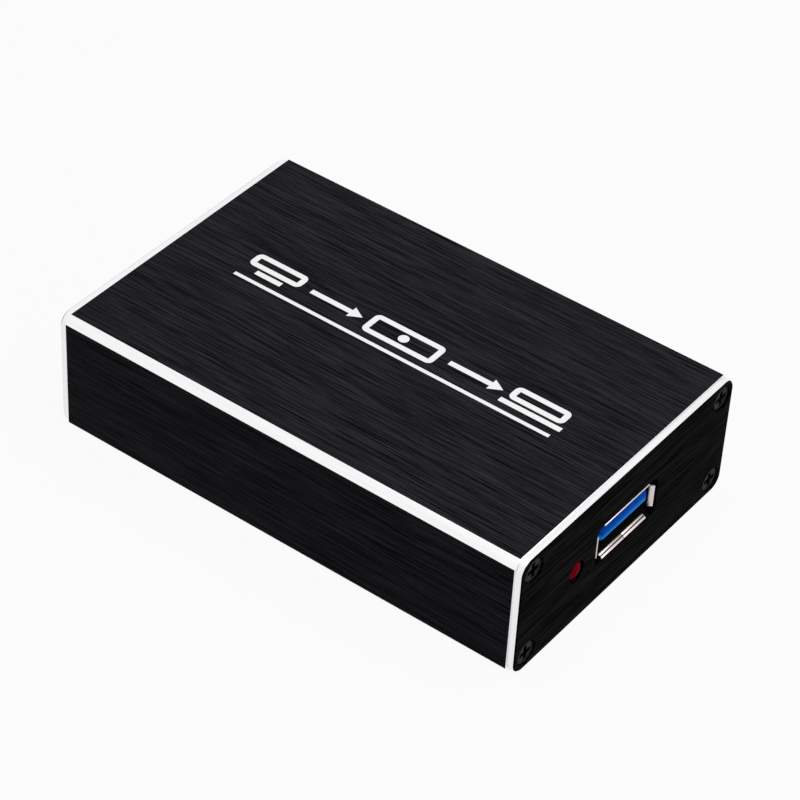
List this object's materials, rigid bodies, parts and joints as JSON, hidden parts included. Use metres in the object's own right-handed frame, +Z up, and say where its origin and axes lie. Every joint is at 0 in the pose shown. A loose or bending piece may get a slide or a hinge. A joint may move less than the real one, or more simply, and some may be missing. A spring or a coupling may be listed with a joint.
{
  "type": "video capture box",
  "caption": "Low aluminium box that turns a video input into a data stream: brushed black sleeve with bright bevels, screwed end plates, a cable socket at each end and a status lamp.",
  "frame": {"origin": "middle of the underside", "axes": "+X along the sleeve to the output end, +Y across to the long side away from the lamp, +Z up"},
  "size_m": [0.0784, 0.05, 0.02],
  "materials": {
    "sleeve_black": "brushed along its length, black anodised, bright cut bevels",
    "plate_black": "brushed along its length, black anodised, bare bright edge",
    "screw_black": "black oxide",
    "board_green": "solder mask",
    "shell_nickel": "nickel plated, bright",
    "tongue_blue": "moulded, satin",
    "tongue_black": "moulded, satin",
    "contact_gold": "gold flashed",
    "lamp_red": "tinted clear resin",
    "lead_tin": "tin plated",
    "chip_black": "moulded, matt",
    "can_silver": "satin",
    "coil_grey": "ferrite",
    "capacitor_tan": "ceramic with tinned ends",
    "resistor_black": "coated ceramic with tinned ends"
  },
  "bodies": {
    "root": {"body_sleeve": "sleeve_black", "output_end_plate": "plate_black", "input_end_plate": "plate_black", "output_plate_screws": "screw_black", "input_plate_screws": "screw_black", "main_board": "board_green", "output_socket_shell": "shell_nickel", "input_socket_shell": "shell_nickel", "output_socket_tongue": "tongue_blue", "input_socket_tongue": "tongue_black", "output_data_contacts": "contact_gold", "output_fast_contacts": "contact_gold", "input_upper_contacts": "contact_gold", "input_lower_contacts": "contact_gold", "status_lamp": "lamp_red", "status_lamp_leads": "lead_tin", "video_receiver_leads": "lead_tin", "data_controller_balls": "lead_tin", "program_memory_leads": "lead_tin", "surge_protection_leads": "lead_tin", "voltage_regulator_leads": "lead_tin", "video_receiver_chip": "chip_black", "data_controller_chip": "chip_black", "program_memory_chip": "chip_black", "surge_protection_chips": "chip_black", "voltage_regulators": "chip_black", "bulk_capacitor_bases": "chip_black", "clock_crystals": "can_silver", "bulk_capacitor_cans": "can_silver", "power_coils": "coil_grey", "ferrite_beads": "coil_grey", "ceramic_capacitors": "capacitor_tan", "chip_resistors": "resistor_black"}
  },
  "joints": []
}
